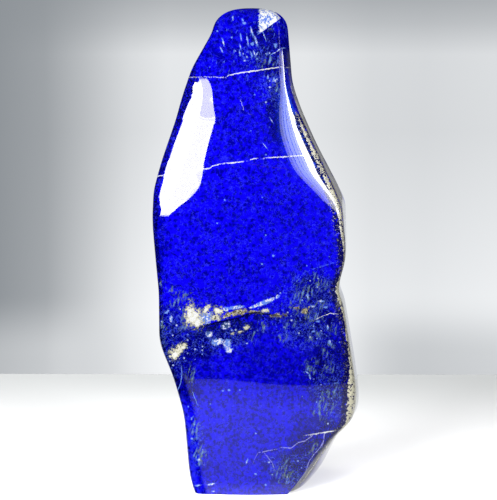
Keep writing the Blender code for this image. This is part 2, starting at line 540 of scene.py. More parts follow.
@dataclass(frozen=True)
class Studio:
    """The pale table, the wall, the lamps and the camera, in metres.

    A lamp panel has a span of degrees to the right of straight in front, a span of degrees above the stone's
    shoulders, and the brightness of its face. The stepped ones at the left share their right end.
    """

    table_half: float = 0.245
    table_tone: Rgba = (0.8, 0.8, 0.805, 1.0)
    # Painted shade: darker at the back for the shade where the table meets the wall, and at the front, which
    # the lamps light most, so it looks even and mirrors faintly.
    table_painted_shades: tuple[tuple[Rgba, float, float], ...] = (
        ((0.4, 0.41, 0.41, 1.0), 0.0, 0.245), ((0.26, 0.262, 0.265, 1.0), -0.025, -0.05),
        ((0.13, 0.131, 0.132, 1.0), -0.17, -0.235),
    )
    camera_place: Place = (0.0, -0.75, 0.225)
    camera_aim: Place = (-0.00496, 0.0, 0.11946533)
    focal_pixels: float = 1500.54
    frame_width_pixels: int = 497
    wall_dark: Colour = (141, 146, 151)
    wall_pale: Colour = (251, 253, 255)
    glow_across: Table = (
        (-0.17, 0.02), (-0.14, 0.14), (-0.115, 0.42), (-0.085, 0.8), (-0.06, 1.0), (0.03, 1.0), (0.075, 0.8),
        (0.11, 0.78), (0.17, 0.88),
    )
    glow_up: Table = (
        (-0.24, 0.9), (-0.18, 1.0), (-0.12, 0.86), (-0.06, 0.72), (-0.01, 0.74), (0.01, 0.42), (0.04, 0.1),
    )
    felt_tone: Colour = (246, 249, 255)
    lamp_aim: Place = (0.0, 0.0, 0.17)
    lamp_distance: float = 0.95
    left_end: float = -43.5
    left_radiance: float = 27.0
    left_steps: tuple[tuple[float, float, float], ...] = (
        (-6.0, 8.1, -75.0), (8.0, 11.1, -72.5), (11.0, 13.6, -70.0), (13.5, 16.1, -67.5), (16.0, 19.1, -65.0),
        (19.0, 36.0, -62.5),
    )
    softboxes: tuple[tuple[str, Span, Span, float], ...] = (
        ("left_low", (-45.0, -20.0), (-6.0, 12.4), 18.0), ("left_middle", (-45.0, -20.0), (12.2, 14.5), 22.0),
        ("left_high", (-45.0, -20.0), (14.0, 34.0), 25.0), ("right", (44.0, 56.0), (9.0, 42.0), 34.0),
        ("right_low", (56.0, 61.0), (9.0, 18.0), 34.0), ("right_end", (61.0, 67.0), (9.0, 14.5), 34.0),
    )
    streak_rise: Span = (11.0, 42.0)
    streaks: tuple[tuple[Span, float], ...] = (
        ((18.0, 20.6), 3.5), ((20.6, 24.3), 5.5), ((24.8, 31.3), 7.5), ((31.8, 38.0), 9.0),
        ((38.4, 43.5), 12.0),
    )
    ceiling_height: float = 1.3
    ceiling_side: float = 1.2
    ceiling_radiance: float = 2.0

    def add_camera(self) -> None:
        """A long lens a little above the stone's middle, looking slightly down."""
        data = bpy.data.cameras.new("camera")
        data.sensor_fit = "HORIZONTAL"
        data.sensor_width = 36.0
        data.lens = self.focal_pixels / self.frame_width_pixels * data.sensor_width
        camera = bpy.data.objects.new("camera", data)
        camera.location = self.camera_place
        way = Vector(self.camera_aim) - Vector(self.camera_place)
        camera.rotation_euler = way.to_track_quat("-Z", "Y").to_euler()
        bpy.context.scene.collection.objects.link(camera)
        bpy.context.scene.camera = camera

    def add_table(self) -> None:
        """A square, plain, pale table top with painted shade towards its front and back."""
        half = self.table_half
        corners = [(-half, -half, 0), (half, -half, 0), (half, half, 0), (-half, half, 0)]
        mesh = bpy.data.meshes.new("table")
        mesh.from_pydata(corners, [], [(0, 1, 2, 3)])
        table = bpy.data.objects.new("table", mesh)
        bpy.context.scene.collection.objects.link(table)
        material = bpy.data.materials.new("table_white")
        graph = NodeGraph(material)
        _, back, _ = graph.split(graph.node("ShaderNodeTexCoord").outputs["Object"])
        colour = self.table_tone
        for tone, start, end in self.table_painted_shades:
            colour = graph.mix(colour, tone, back.ramp(start, end))
        shader = graph.node("ShaderNodeBsdfPrincipled", None, {"Base Color": colour, "Roughness": 0.7})
        graph.node("ShaderNodeOutputMaterial", None, {"Surface": shader.outputs[0]})
        mesh.materials.append(material)

    def add_panel(self, name: str, azimuths: Span, elevations: Span, radiance: float) -> None:
        """A flat rectangular lamp that fills a window of directions seen from the stone's upper half.

        Args:
            name: The lamp's name.
            azimuths: Its left and right ends, in degrees to the right of straight in front.
            elevations: Its lower and upper ends, in degrees above the stone's shoulders.
            radiance: Brightness of its face.
        """
        azimuth, elevation = (math.radians(sum(ends) / 2) for ends in (azimuths, elevations))
        half_turn, half_rise = (math.radians(ends[1] - ends[0]) / 2 for ends in (azimuths, elevations))
        way = Vector((math.sin(azimuth) * math.cos(elevation), -math.cos(azimuth) * math.cos(elevation),
                      math.sin(elevation)))
        size = (2 * self.lamp_distance * math.cos(elevation) * math.tan(half_turn),
                2 * self.lamp_distance * math.tan(half_rise))
        self.add_lamp(name, Vector(self.lamp_aim) + way * self.lamp_distance, way, size, radiance)

    @staticmethod
    def add_lamp(name: str, place: Vector, way: Vector, size: Span, radiance: float) -> bpy.types.Object:
        """A rectangular lamp that shines back along the way to it.

        Args:
            name: The lamp's name.
            place: Where it is.
            way: The direction from what it lights to the lamp.
            size: Its width and height.
            radiance: Brightness of its face.

        Returns:
            The lamp, which the camera doesn't see.
        """
        data = bpy.data.lights.new(name, "AREA")
        data.shape = "RECTANGLE"
        data.size, data.size_y = size
        data.energy = radiance * math.pi * size[0] * size[1]
        lamp = bpy.data.objects.new(name, data)
        lamp.location = place
        lamp.rotation_euler = (-way).to_track_quat("-Z", "Y").to_euler()
        lamp.visible_camera = False
        bpy.context.scene.collection.objects.link(lamp)
        return lamp

    def add_world(self) -> None:
        """A wall that pales round the stone for the camera, and a dim room, pale behind, for the stone."""
        world = bpy.data.worlds.new("room")
        bpy.context.scene.world = world
        graph = NodeGraph(world)
        x, y, z = graph.split(graph.node("ShaderNodeTexCoord").outputs["Generated"])
        low = z.ramp(-0.165, -0.205)
        glow = x.follow(self.glow_across) * z.follow(self.glow_up)
        glow = glow + x.ramp(-0.09, -0.14) * low * 0.3 - x.ramp(0.04, 0.1) * low * 0.3
        wall = graph.mix(linear(self.wall_dark), linear(self.wall_pale), glow)
        seen = graph.node("ShaderNodeBackground", None, {"Color": wall})
        behind = x.ramp(-0.06, 0.03) * y.ramp(0.8, 0.97, 0.0, 0.75) * z.ramp(-0.008, -0.035)
        felt = graph.node("ShaderNodeBackground", None, {
            "Color": linear(self.felt_tone), "Strength": behind + x.ramp(-0.1, 0.5, 0.02, 0.1)})
        path = graph.node("ShaderNodeLightPath").outputs["Is Camera Ray"]
        both = graph.node("ShaderNodeMixShader", None, {0: path, 1: felt.outputs[0], 2: seen.outputs[0]})
        graph.node("ShaderNodeOutputWorld", None, {"Surface": both.outputs[0]})

    def build(self) -> None:
        """Set up the whole stage."""
        self.add_camera()
        self.add_table()
        self.add_world()
        for foot, top, end in self.left_steps:
            self.add_panel("softbox_left_%d" % top, (end, self.left_end), (foot, top), self.left_radiance)
        for name, azimuths, elevations, radiance in self.softboxes:
            self.add_panel("softbox_" + name, azimuths, elevations, radiance)
        for azimuths, radiance in self.streaks:
            self.add_panel("streak_%d" % azimuths[0], azimuths, self.streak_rise, radiance)
        upward = Vector((0.0, 0.0, 1.0))
        size = (self.ceiling_side, self.ceiling_side)
        ceiling = self.add_lamp("ceiling", upward * self.ceiling_height, upward, size, self.ceiling_radiance)
        ceiling.visible_glossy = False
        bpy.context.scene.view_settings.view_transform = "Standard"


def linear(colour: Colour) -> Rgba:
    """Turn a screen colour of 0 to 255 into the linear values that a shader wants, with alpha 1."""
    red, green, blue = ((channel / 255.0) ** 2.2 for channel in colour)
    return (red, green, blue, 1.0)


class NodeGraph:
    """The nodes of a material or a world, added by a single method, and the few groups of them that recur."""

    def __init__(self, owner: bpy.types.Material | bpy.types.World) -> None:
        """Clear the nodes of a material or a world.

        Args:
            owner: The material or the world.
        """
        owner.use_nodes = True
        self.tree = owner.node_tree
        self.tree.nodes.clear()

    def node(self, kind: str, settings: dict | None = None, inputs: dict | None = None) -> bpy.types.Node:
        """Add one node.

        Args:
            kind: The node's type.
            settings: Its own settings, set first. A setting called curve holds the points of a Float Curve.
            inputs: Numbers, colours or links for its sockets, by name or by place.

        Returns:
            The node.
        """
        node = self.tree.nodes.new(kind)
        for name, setting in (settings or {}).items():
            if name == "curve":
                self.bend(node.mapping, setting)
            else:
                setattr(node, name, setting)
        for key, value in (inputs or {}).items():
            socket = node.inputs[key]
            if isinstance(value, Value):
                self.tree.links.new(value.socket, socket)
            elif isinstance(value, Socket):
                self.tree.links.new(value, socket)
            else:
                socket.default_value = value
        return node

    @staticmethod
    def bend(mapping: bpy.types.CurveMapping, points: Table) -> None:
        """Give a curve its points, straight between them and level beyond its ends.

        Args:
            mapping: The curve's mapping, which has two points to start with.
            points: Pairs of place and height.
        """
        mapping.extend = "HORIZONTAL"
        curve = mapping.curves[0]
        for place in points[2:]:
            curve.points.new(*place)
        for point, place in zip(curve.points, points):
            point.location = place
            point.handle_type = "VECTOR"
        mapping.update()

    def maths(self, operation: str, *values: "Value | float") -> "Value":
        """One Math node."""
        node = self.node("ShaderNodeMath", {"operation": operation}, dict(enumerate(values)))
        return Value(self, node.outputs[0])

    def vector(self, operation: str, inputs: dict) -> Socket:
        """The vector that a Vector Math node gives."""
        return self.node("ShaderNodeVectorMath", {"operation": operation}, inputs).outputs["Vector"]

    def split(self, vector: Socket) -> tuple["Value", ...]:
        """The x, y and z of a vector."""
        node = self.node("ShaderNodeSeparateXYZ", None, {0: vector})
        return tuple(Value(self, output) for output in node.outputs)

    def noise(self, place: Socket, per_mm: float, detail: float = 2.0, roughness: float = 0.55,
              distortion: float = 0.0) -> "Value":
        """Soft noise, about 0.3 to 0.7.

        Args:
            place: The place to read it at.
            per_mm: How many swells it has to the millimetre.
            detail: How many finer noises are added to it.
            roughness: How strong each finer noise is.
            distortion: How far its swells are twisted.

        Returns:
            The noise.
        """
        node = self.node("ShaderNodeTexNoise", None, {"Vector": place, "Scale": per_mm, "Detail": detail,
                                                      "Roughness": roughness, "Distortion": distortion})
        return Value(self, node.outputs["Fac"])

    def cells(self, place: Socket, per_mm: float) -> tuple["Value", "Value"]:
        """Irregular cells that fill the stone.

        Args:
            place: The place to read them at.
            per_mm: How many of them there are to the millimetre.

        Returns:
            How far off the nearest cell's middle is, and a chance from 0 to 1 that is the cell's own.
        """
        node = self.node("ShaderNodeTexVoronoi", None, {"Vector": place, "Scale": per_mm})
        parts = self.node("ShaderNodeSeparateColor", None, {0: node.outputs["Color"]})
        return Value(self, node.outputs["Distance"]), Value(self, parts.outputs[0])

    def mix(self, under: Socket | Rgba, over: Socket | Rgba, mask: "Value | float") -> Socket:
        """Lay one colour over another where the mask is 1."""
        node = self.node("ShaderNodeMix", {"data_type": "RGBA"}, {0: mask, 6: under, 7: over})
        return node.outputs[2]

    def lay(self, colour: Socket, *coats: tuple["Ink", "Value"]) -> Socket:
        """Lay inks over a colour one after another.

        Args:
            colour: The colour below.
            coats: Each ink with the mask that is 1 where it covers.

        Returns:
            The colour with them all.
        """
        for ink, mask in coats:
            colour = self.mix(colour, ink.colour, mask)
        return colour


@dataclass(frozen=True)
class Value:
    """A number that varies over the surface: a node's output socket, with arithmetic that adds Math nodes."""

    graph: NodeGraph
    socket: Socket

    def __add__(self, other: "Value | float") -> "Value":
        """Sum."""
        return self.graph.maths("ADD", self, other)

    __radd__ = __add__

    def __sub__(self, other: "Value | float") -> "Value":
        """Difference."""
        return self.graph.maths("SUBTRACT", self, other)

    def __rsub__(self, other: float) -> "Value":
        """Difference from a number."""
        return self.graph.maths("SUBTRACT", other, self)

    def __mul__(self, other: "Value | float") -> "Value":
        """Product."""
        return self.graph.maths("MULTIPLY", self, other)

    __rmul__ = __mul__

    def __abs__(self) -> "Value":
        """Size without its sign."""
        return self.graph.maths("ABSOLUTE", self)

    def least(self, other: "Value | float") -> "Value":
        """The smaller of two."""
        return self.graph.maths("MINIMUM", self, other)

    def most(self, other: "Value | float") -> "Value":
        """The larger of two."""
        return self.graph.maths("MAXIMUM", self, other)

    def ramp(self, start: "Value | float", end: "Value | float", low: float = 0.0,
             high: float = 1.0) -> "Value":
        """Go smoothly from one number to another while the value goes from its start to its end.

        Args:
            start: The value at which the answer is low.
            end: The value at which it is high. It may be below the start.
            low: The answer at the start and before it.
            high: The answer at the end and past it.

        Returns:
            The answer.
        """
        node = self.graph.node("ShaderNodeMapRange", {"interpolation_type": "SMOOTHSTEP"}, {
            "Value": self, "From Min": start, "From Max": end, "To Min": low, "To Max": high})
        return Value(self.graph, node.outputs["Result"])

    def follow(self, points: Table) -> "Value":
        """Read a table at the value, as a Float Curve scaled to the table's range.

        Args:
            points: Pairs of place and size.

        Returns:
            The size there, straight between the table's points.
        """
        places, sizes = zip(*points)
        first, span = places[0], places[-1] - places[0]
        least, reach = min(sizes), max(max(sizes) - min(sizes), 1e-6)
        shape = tuple(((place - first) / span, (size - least) / reach) for place, size in points)
        place = (self - first) * (1.0 / span)
        curve = self.graph.node("ShaderNodeFloatCurve", {"curve": shape}, {"Factor": 1.0, "Value": place})
        return Value(self.graph, curve.outputs[0]) * reach + least


class Ink(Enum):
    """The colours found in the stone, as they look on a screen, and two that are painted light."""

    BRIGHT = (20, 6, 246)
    DEEP = (8, 0, 196)
    NAVY = (2, 0, 132)
    DUSK = (4, 0, 176)
    NIGHT = (4, 6, 44)
    MIDNIGHT = (4, 2, 72)
    THREAD = (52, 58, 255)
    # Painted sheen, not a colour of the stone: the veil on the right bevel.
    PAINTED_SHEEN = (36, 92, 255)
    PALE_BLUE = (120, 160, 250)
    LILAC = (165, 165, 250)
    WHITE = (248, 250, 252)
    CREAM = (226, 222, 192)
    GOLD = (156, 146, 100)
    OLIVE = (108, 116, 96)
    GREY_GREEN = (98, 128, 128)
    ROCK = (176, 178, 180)
    # Painted light, not a colour of the stone: the chalk that pales the upper right side.
    PAINTED_LIGHT_CHALK = (250, 251, 252)
    RUST = (72, 48, 96)

    @property
    def colour(self) -> Rgba:
        """The colour in linear values, less the lamps' light on the front."""
        red, green, blue, _ = linear(self.value)
        return (red / FACE_LIGHT, green / FACE_LIGHT, blue / FACE_LIGHT, 1.0)


@dataclass(frozen=True)
class Spot:
    """An oval mark on the front: its middle, its half length and half width, and the lean of its length."""

    x: float
    z: float
    long: float
    wide: float
    lean: float = 0.0

    def axes(self) -> tuple[tuple[float, float, float], ...]:
        """For its length and its width: how fast the distance grows with x and with z, and where it starts.

        Returns:
            Three numbers for each of the two.
        """
        lean = math.radians(self.lean)
        axes = []
        for half, run, rise in ((self.long, math.cos(lean), math.sin(lean)),
                                (self.wide, -math.sin(lean), math.cos(lean))):
            axes.append((run / half, rise / half, -(self.x * run + self.z * rise) / half))
        return tuple(axes)


def stroke(start: Span, end: Span, half_width: float) -> Spot:
    """A slender mark from one point to another.

    Args:
        start: Its first end, as x and z.
        end: Its other end.
        half_width: Half its width.

    Returns:
        The spot that covers it.
    """
    run, rise = end[0] - start[0], end[1] - start[1]
    half_length = 0.5 * math.hypot(run, rise) + half_width
    return Spot(0.5 * (start[0] + end[0]), 0.5 * (start[1] + end[1]), half_length, half_width,
                math.degrees(math.atan2(rise, run)))


def nearness(x: np.ndarray, z: np.ndarray, spots: tuple[Spot, ...]) -> np.ndarray:
    """How far off the nearest of some spots is, where 1 is its edge.

    For each spot, the distances along and across it over its half length and half width are squared and
    added, and the smallest sum's root is the answer.

    Args:
        x: How far right each point is.
        z: How high it is.
        spots: The spots.

    Returns:
        The distance at each point.
    """
    nearest = np.full(x.shape, np.inf)
    for spot in spots:
        squares = sum((x * run + z * rise + start) ** 2 for run, rise, start in spot.axes())
        nearest = np.minimum(nearest, squares)
    return np.sqrt(nearest).clip(0.0, SPOT_REACH)


@dataclass(frozen=True)
class Vein:
    """A thin sheet that meets the surface in a line.

    A level vein's line gives its z at each x. An upright one's gives its x at each z. Its fade gives, over
    the same range, how strongly it shows. One that goes through the stone shows on the back as well.
    """

    line: Table
    half_width: float
    fade: Table
    ink: Ink = Ink.WHITE
    upright: bool = False
    through: bool = False


@dataclass(frozen=True)
class Marks:
    """Where the marks of this stone lie on its front, in millimetres."""

    veins: tuple[Vein, ...] = (
        Vein(((-40, 206.2), (-32.5, 206.4), (-26, 206.7), (-15.7, 206.5), (-14.8, 207.3), (-10.1, 208.5),
              (-4.1, 209.3), (1.7, 210.1), (7.0, 210.9), (10.2, 211.4), (15.5, 211.1), (24, 211.3)), 0.42,
             ((-40, 0.3), (-33, 0.5), (-15.5, 0.55), (-13.5, 0.9), (-9, 1.0), (7, 1.0), (10, 0.6), (24, 0.5)),
             through=True),
        Vein(((-52, 157.6), (-45.8, 158.9), (-30, 161.9), (-26.8, 162.3), (-23.4, 162.8), (-22.4, 163.8),
              (-16.1, 165.2), (-8.8, 165.7), (-3.8, 166.8), (-2.1, 167.5), (0.8, 167.5), (6.4, 167.9),
              (17.6, 168.6), (40, 168.8)), 0.44,
             ((-52, 0.8), (-46, 0.8), (-44, 0.2), (-29, 0.2), (-27, 0.9), (-21, 0.9), (-17, 0.6), (-13, 1.0),
              (-8.5, 1.0), (-6.5, 0.15), (-4.6, 0.15), (-4, 0.9), (-3, 0.9), (-1, 0.7), (1, 0.25), (3, 0.45),
              (7, 0.9), (40, 1.0)), through=True),
        Vein(((199.0, 11.8), (206.9, 10.6), (211.4, 10.1), (219.2, 10.3), (228.8, 10.0), (232.5, 8.8)), 0.3,
             ((199, 0.0), (202, 0.4), (211, 0.6), (229, 0.4), (232, 0.0)), Ink.LILAC, upright=True),
        Vein(((188.3, -2.9), (189.4, -5.1), (190.9, -7.2), (193.8, -8.1), (195.7, -8.9), (198.5, -9.6)), 0.3,
             ((188.3, 0.0), (189.2, 0.6), (190.4, 0.2), (191, 0.9), (194.5, 0.9), (196, 0.4), (198.5, 0.0)),
             Ink.LILAC, upright=True),
        Vein(((-6, 164.8), (-1.0, 164.6), (2.7, 163.5), (6.8, 163.3), (12.4, 162.7), (16, 162.4)), 0.3,
             ((-6, 0.0), (-4, 0.5), (12, 0.6), (16, 0.0)), Ink.RUST),
        Vein(((22.0, 30.4), (27.1, 31.0), (32.1, 31.9), (38.4, 32.9), (48, 34.5)), 0.5,
             ((22, 0.0), (24, 0.6), (30, 0.8), (34, 1.0), (48, 1.0)), Ink.WHITE, through=True),
        Vein(((-3.2, 14.5), (-2.9, 15.7), (-1.7, 18.7), (-0.1, 21.7), (4.3, 22.7), (8.2, 23.4), (11.3, 24.5),
              (16.4, 24.2), (20.1, 27.1), (23.3, 27.8), (25.8, 29.6), (27, 30.6)), 0.4,
             ((-3.2, 0.3), (-1, 0.6), (4, 0.7), (10, 0.55), (14, 0.8), (27, 0.9)), Ink.LILAC),
        Vein(((8.0, 22.4), (13.2, 24.1), (17.1, 25.3), (20.7, 27.7), (24.3, 30.9), (26.9, 32.2),
              (31.5, 32.9)), 0.42, ((8, 0.0), (12, 0.7), (20, 0.85), (31.5, 0.9)), Ink.LILAC, upright=True),
        Vein(((13.0, 31.4), (20.5, 31.3), (26.9, 32.2)), 0.32, ((13, 0.0), (18, 0.6), (26.9, 0.8)), Ink.LILAC,
             upright=True),
        Vein(((11.0, 8.8), (16.7, 6.9), (21.3, 3.4), (22.6, 2.6)), 0.3,
             ((11, 0.0), (14, 0.6), (20, 0.8), (22.6, 0.3)), Ink.LILAC, upright=True),
        Vein(((51.0, -40.6), (52.1, -40.1), (56.9, -38.2), (61.0, -37.6), (65.7, -37.8), (67, -37.8)), 0.3,
             ((51, 0.0), (53, 0.8), (64, 0.9), (67, 0.0)), Ink.PALE_BLUE, upright=True),
        Vein(((44.5, -29.4), (45.4, -29.7), (47.5, -30.7), (52.2, -32.3), (53.5, -32.8)), 0.35,
             ((44.5, 0.0), (46, 0.8), (52, 0.9), (53.5, 0.0)), Ink.PALE_BLUE, upright=True),
        Vein(((24.0, 86.6), (28.3, 89.2), (32.2, 90.8), (35.5, 92.0), (39.4, 91.6), (46, 92.5)), 0.3,
             ((24, 0.0), (28, 0.5), (34, 0.9), (46, 0.7)), Ink.WHITE, through=True),
        Vein(((17.0, 81.6), (19.5, 82.8), (24.9, 85.2), (30.2, 88.7), (32, 90)), 0.3,
             ((17, 0.0), (20, 0.4), (30, 0.5), (32, 0.0)), Ink.PALE_BLUE),
        Vein(((6.0, 98.2), (10.2, 100.8), (13.0, 103.1), (16.3, 105.5), (20.0, 109.2), (22.8, 112.4),
              (27.5, 114.1), (31.4, 115.3), (37.4, 117.2), (48, 119)), 0.4,
             ((6, 0.0), (9, 0.3), (14, 0.2), (19, 0.5), (24, 0.3), (30, 0.45), (48, 0.2)), Ink.PALE_BLUE,
             through=True),
    )
    flecks: tuple[Spot, ...] = (
        stroke((-12.6, 235.9), (-12.4, 234.0), 0.4), Spot(-6.9, 232.5, 0.9, 0.7),
        stroke((-7.9, 234.6), (-7.5, 233.6), 0.4), stroke((-3.9, 231.0), (-2.6, 226.2), 0.5),
        stroke((-1.8, 225.8), (-0.4, 221.6), 0.65), Spot(-3.0, 222.6, 0.9, 0.8),
        stroke((-5.8, 227.0), (-4.9, 222.3), 0.45), stroke((-8.8, 227.3), (-8.3, 224.2), 0.4),
        stroke((-9.1, 222.5), (-8.6, 220.0), 0.4), stroke((-9.3, 219.4), (-8.9, 216.8), 0.4),
        stroke((-17.6, 225.3), (-16.7, 221.6), 0.45), stroke((-18.6, 221.0), (-17.3, 218.3), 0.4),
        stroke((-2.6, 219.8), (-1.4, 216.6), 0.35), stroke((-1.4, 216.6), (-0.1, 218.9), 0.35),
        stroke((-3.8, 218.6), (-3.1, 216.6), 0.4), Spot(-13.0, 225.6, 0.6, 0.5), Spot(8.3, 221.8, 0.9, 1.2),
        Spot(-0.7, 215.4, 0.7, 0.4), Spot(-6.8, 214.5, 0.6, 0.5), stroke((6.1, 217.5), (8.7, 218.7), 0.3),
        stroke((8.7, 218.7), (10.8, 220.5), 0.35), stroke((10.8, 220.5), (13.2, 220.6), 0.3),
        stroke((2.0, 228.4), (3.7, 224.1), 0.3), Spot(4.6, 206.6, 0.6, 1.0),
        Spot(7.9, 205.2, 1.6, 0.7, -60.0),
        stroke((1.9, 175.2), (4.6, 171.7), 0.3), stroke((5.6, 187.0), (7.1, 184.5), 0.3),
        stroke((23.1, 63.4), (25.0, 61.8), 0.35), stroke((25.0, 61.8), (25.8, 58.8), 0.35),
        Spot(-17.3, 53.1, 0.7, 0.4), Spot(-14.4, 53.6, 0.6, 0.5), Spot(-1.1, 31.7, 0.7, 0.5),
        stroke((-6.0, 16.3), (-5.0, 18.8), 0.45), Spot(-1.3, 10.9, 0.7, 0.4), Spot(3.8, 5.2, 0.6, 0.5),
        stroke((-31.0, 4.2), (-29.0, 4.7), 0.6), stroke((-25.0, 5.0), (-21.7, 5.6), 0.6),
        Spot(-22.3, 1.6, 0.9, 0.4), Spot(-44.9, 92.3, 1.2, 0.5, 30.0), Spot(-44.6, 92.4, 0.45, 1.1),
        Spot(24.2, 100.3, 0.6, 1.7), Spot(30.7, 98.0, 1.8, 0.6), Spot(34.0, 85.0, 0.6, 1.4),
        Spot(35.1, 77.7, 0.7, 1.5), Spot(29.2, 87.9, 1.0, 0.5), Spot(26.5, 95.5, 1.4, 0.5),
        Spot(33.0, 95.0, 1.2, 0.5), Spot(27.0, 83.0, 1.0, 0.6), Spot(-33.0, 38.8, 0.5, 0.8),
        Spot(-31.6, 35.9, 0.5, 0.5), Spot(-29.5, 17.7, 1.0, 0.8), Spot(-33.0, 28.5, 0.6, 0.6),
    )
    cream: tuple[Spot, ...] = (
        Spot(-33.8, 91.5, 1.9, 5.4, -8.0), Spot(-31.2, 90.0, 2.6, 4.6, -22.0), Spot(-29.8, 87.2, 2.8, 2.6),
        Spot(-25.3, 94.2, 1.5, 2.3, -20.0), Spot(-19.3, 93.1, 2.2, 1.9), Spot(-20.7, 89.9, 2.3, 1.6),
        Spot(-12.7, 81.7, 1.0, 0.6, 30.0), Spot(-8.5, 82.8, 1.2, 0.7, 20.0),
        Spot(-41.0, 71.6, 3.2, 2.3, 40.0),
        Spot(-37.8, 74.6, 2.8, 1.9, 35.0), Spot(3.2, 93.4, 2.2, 0.9, 8.0), Spot(-5.7, 85.1, 1.3, 1.0),
        Spot(38.6, 104.0, 1.2, 2.6), Spot(39.2, 97.0, 1.0, 2.4),
    )
    gold: tuple[Spot, ...] = (
        Spot(-13.0, 91.7, 5.5, 1.1, 15.0), Spot(-8.5, 92.9, 2.8, 1.2, 8.0), Spot(9.3, 91.2, 3.2, 1.0, -4.0),
        Spot(-2.5, 92.7, 3.2, 0.8, 8.0), Spot(21.4, 92.7, 0.7, 0.6), Spot(24.8, 95.1, 0.6, 0.6),
        Spot(-20.6, 89.8, 0.9, 0.7), Spot(22.9, 93.2, 1.6, 1.0), Spot(19.0, 95.0, 1.2, 1.0),
    )
    pale: tuple[Spot, ...] = (
        Spot(-26.3, 89.5, 4.2, 2.9, 20.0), Spot(-16.0, 94.1, 1.6, 1.0), Spot(-10.8, 95.0, 3.6, 0.8, 8.0),
        Spot(3.0, 97.5, 5.8, 1.0, 22.0), Spot(-2.6, 95.4, 2.2, 0.5, 20.0), Spot(-16.0, 86.0, 2.5, 1.6, 20.0),
        Spot(-24.0, 81.6, 1.7, 1.5), Spot(-20.2, 77.7, 3.0, 1.5, 15.0), Spot(-15.3, 76.8, 1.8, 2.1),
        Spot(-14.3, 73.6, 1.6, 1.2), Spot(9.4, 100.4, 1.2, 0.7, 30.0), Spot(-42.8, 89.1, 0.7, 1.6),
    )
    green: tuple[Spot, ...] = (
        Spot(-46.9, 106.3, 2.8, 1.3, -35.0), Spot(-41.8, 103.2, 4.0, 1.6, -28.0),
        Spot(-36.3, 99.8, 3.4, 2.4, -35.0),
        Spot(-40.2, 97.0, 3.0, 2.6), Spot(-36.6, 91.5, 1.8, 6.0), Spot(-35.0, 84.5, 4.2, 1.3, 8.0),
        Spot(15.9, 85.6, 2.6, 2.6), Spot(2.3, 86.0, 2.2, 2.6), Spot(-2.6, 80.3, 1.7, 3.2, 10.0),
        Spot(28.3, 79.7, 3.6, 3.0), Spot(34.3, 73.7, 2.8, 4.2), Spot(12.1, 80.0, 2.6, 2.0),
        Spot(-33.3, 61.0, 2.2, 5.0, -10.0), Spot(22.0, 101.0, 4.0, 7.5, -35.0), Spot(29.5, 107.0, 4.5, 4.0),
        Spot(16.5, 96.0, 3.5, 2.5), Spot(33.5, 46.0, 4.0, 6.0), Spot(37.0, 52.0, 3.0, 4.5),
        Spot(30.0, 41.0, 4.0, 3.0), Spot(14.0, 12.0, 5.0, 6.0), Spot(28.0, 24.0, 3.0, 4.0),
        Spot(-46.5, 84.0, 1.6, 6.0), Spot(4.0, 213.5, 4.5, 3.0), Spot(5.5, 229.3, 1.4, 1.0),
        Spot(9.5, 204.0, 3.0, 5.0), Spot(26.0, 66.0, 3.0, 4.0), Spot(34.5, 64.0, 2.5, 5.0),
        Spot(37.5, 84.5, 1.8, 3.0), Spot(20.0, 100.3, 1.6, 2.0), Spot(24.0, 90.0, 6.0, 3.0),
        Spot(31.0, 96.0, 5.0, 2.5),
        Spot(-29.0, 20.0, 3.5, 5.0), Spot(-31.5, 34.0, 2.0, 6.0),
    )
    dark: tuple[Spot, ...] = (
        Spot(-44.0, 84.0, 8.0, 14.0), Spot(-30.0, 76.0, 12.0, 7.5, 12.0), Spot(-12.0, 82.5, 12.0, 6.0, 10.0),
        Spot(-39.0, 62.0, 7.0, 12.0), Spot(-34.5, 55.0, 4.0, 6.0), Spot(36.0, 62.0, 12.0, 20.0),
        Spot(27.0, 88.0, 12.0, 10.0), Spot(30.0, 30.0, 14.0, 12.0), Spot(28.0, 103.0, 11.0, 8.0),
        Spot(-50.0, 128.0, 5.0, 24.0), Spot(8.0, 216.0, 9.0, 11.0), Spot(10.0, 190.0, 6.0, 18.0),
        Spot(-45.0, 68.0, 5.0, 14.0), Spot(20.0, 12.0, 10.0, 12.0), Spot(2.0, 227.0, 6.0, 6.0),
    )
    lace: tuple[Spot, ...] = (
        Spot(-42.0, 82.0, 7.0, 13.0), Spot(-20.0, 80.0, 17.0, 8.0, 12.0), Spot(-41.0, 68.0, 6.0, 8.0),
        Spot(25.0, 100.0, 13.0, 12.0, 35.0), Spot(24.0, 84.0, 14.0, 9.0), Spot(36.0, 52.0, 10.0, 16.0),
        Spot(-30.0, 24.0, 2.6, 14.0), Spot(16.0, 14.0, 12.0, 9.0), Spot(-2.0, 217.0, 9.0, 5.0),
        Spot(8.0, 200.0, 8.0, 9.0), Spot(7.0, 89.0, 8.0, 3.0, -20.0),
    )
    crack: Table = (
        (-50.0, 77.5), (-40.0, 81.0), (-33.5, 83.8), (-29.1, 84.9), (-24.9, 86.3), (-20.2, 87.5),
        (-15.5, 88.5), (-12.2, 89.3), (-8.5, 90.4), (-5.2, 91.6), (-1.5, 92.6), (2.3, 91.9),
        (7.4, 91.5), (10.2, 90.9),
        (14.0, 90.8), (24.0, 89.6), (40.0, 91.0),
    )
    crack_depth: Table = (
        (-50.0, 0.1), (-36.0, 0.2), (-31.0, 0.7), (-24.0, 1.0), (0.0, 1.0), (9.0, 0.8), (13.0, 0.45),
        (17.0, 0.0), (40.0, 0.0),
    )
    matrix_width: Table = (
        (0.0, 0.5), (18.0, 0.7), (30.0, 1.0), (36.0, 2.6), (44.0, 4.6), (56.0, 4.0), (64.0, 2.0), (72.0, 1.4),
        (86.0, 0.8), (96.0, 1.4), (104.0, 1.4), (111.0, 0.3), (122.0, 0.5), (132.0, 1.1), (150.0, 1.3),
        (170.0, 1.15), (180.0, 0.8), (187.0, 0.3), (192.0, 0.0), (240.0, 0.0),
    )
    chip_left: float = 0.1
    chip_foot: Span = (2.3, 228.9)
    chip_tip: Span = (10.7, 235.0)
    chip_shoulder: Span = (8.0, 238.2)

